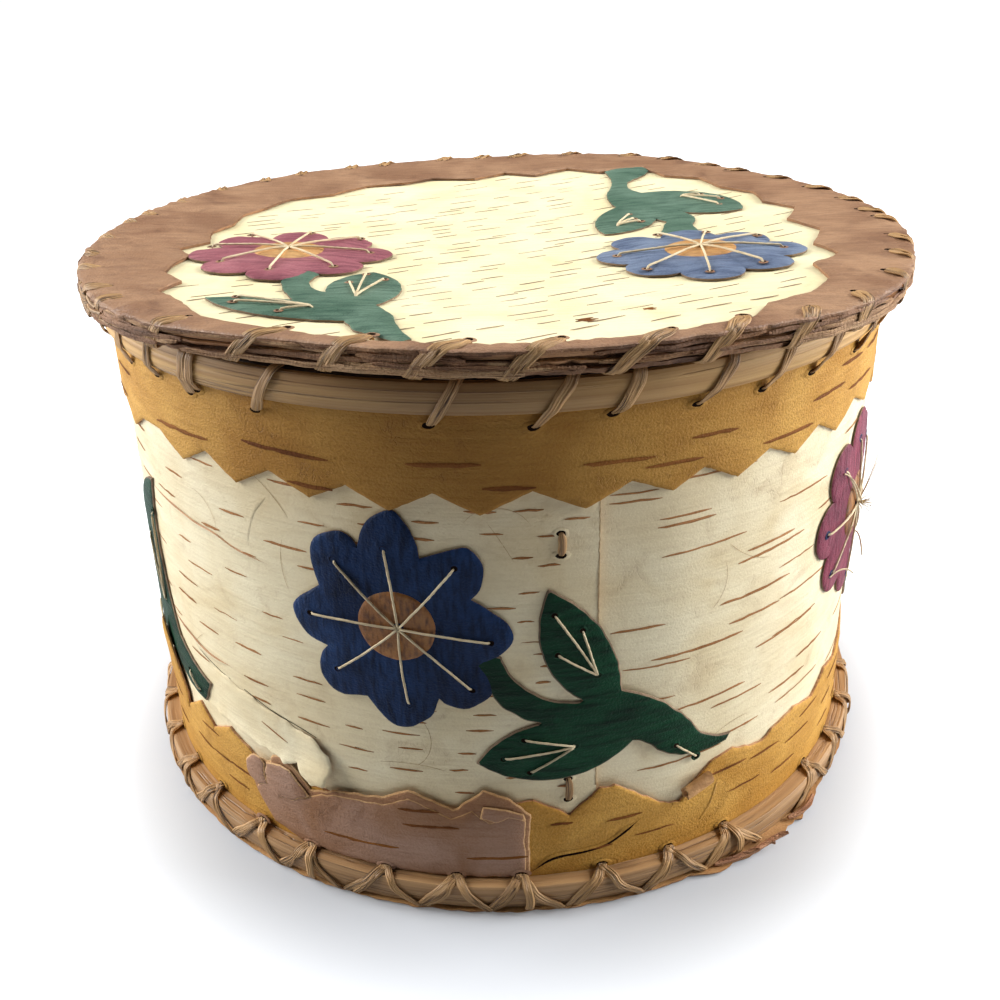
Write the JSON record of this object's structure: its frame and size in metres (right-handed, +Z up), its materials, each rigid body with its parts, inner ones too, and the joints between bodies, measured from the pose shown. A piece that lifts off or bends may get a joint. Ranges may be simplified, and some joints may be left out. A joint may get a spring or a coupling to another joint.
{
  "type": "round birch bark box with lift-off lid",
  "caption": "Low round box of bent birch bark with splint hoops laced on at rim and foot, cut bark flowers and leaves on wall and lid, and a flanged lid that lifts straight off",
  "frame": {"origin": "on the box's axis, on the surface it stands on", "axes": "+Z up along the box's axis, -Y towards the side with the lapped seam, +X to the right seen from that side"},
  "size_m": [0.2378, 0.2409, 0.1598],
  "materials": {
    "white_bark": "peeled white birch bark with brown lenticels",
    "golden_bark": "smooth inner birch bark",
    "brown_bark": "aged inner birch bark",
    "dark_bark": "mauve-brown inner bark",
    "splint_wood": "split wood splint with open grain",
    "dark_reed": "dark glossy reed",
    "split_root": "split root lacing",
    "navy_bark": "bark dyed navy",
    "blue_bark": "bark dyed blue, faded",
    "burgundy_bark": "bark dyed burgundy",
    "dark_green_bark": "bark dyed dark green",
    "green_bark": "bark dyed green, faded",
    "ochre_bark": "bark dyed ochre"
  },
  "bodies": {
    "box": {"bottom_disc": "brown_bark", "wall_sheet": "white_bark", "top_band": "golden_bark", "low_band": "golden_bark", "low_band_patch": "dark_bark", "rim_outer_hoop": "splint_wood", "rim_inner_hoop": "splint_wood", "foot_hoop": "splint_wood", "rim_reed": "dark_reed", "rim_lacing": "split_root", "foot_lacing": "split_root", "seam_lacing": "split_root", "navy_flowers": "navy_bark", "burgundy_flowers": "burgundy_bark", "wall_flower_centres": "ochre_bark", "wall_sprays": "dark_green_bark"},
    "lid": {"lid_disc": "white_bark", "lid_ring": "brown_bark", "lid_under_ply": "brown_bark", "lid_flange": "brown_bark", "lid_lacing": "split_root", "lid_red_flower": "burgundy_bark", "lid_red_flower_centre": "ochre_bark", "lid_red_spray": "green_bark", "lid_blue_flower": "blue_bark", "lid_blue_flower_centre": "ochre_bark", "lid_blue_spray": "green_bark"}
  },
  "joints": [
    {"name": "lid_lift", "type": "slide", "parent": "box", "child": "lid", "axis": [0, 0, 1], "range_m": [0, 0.06]}
  ]
}
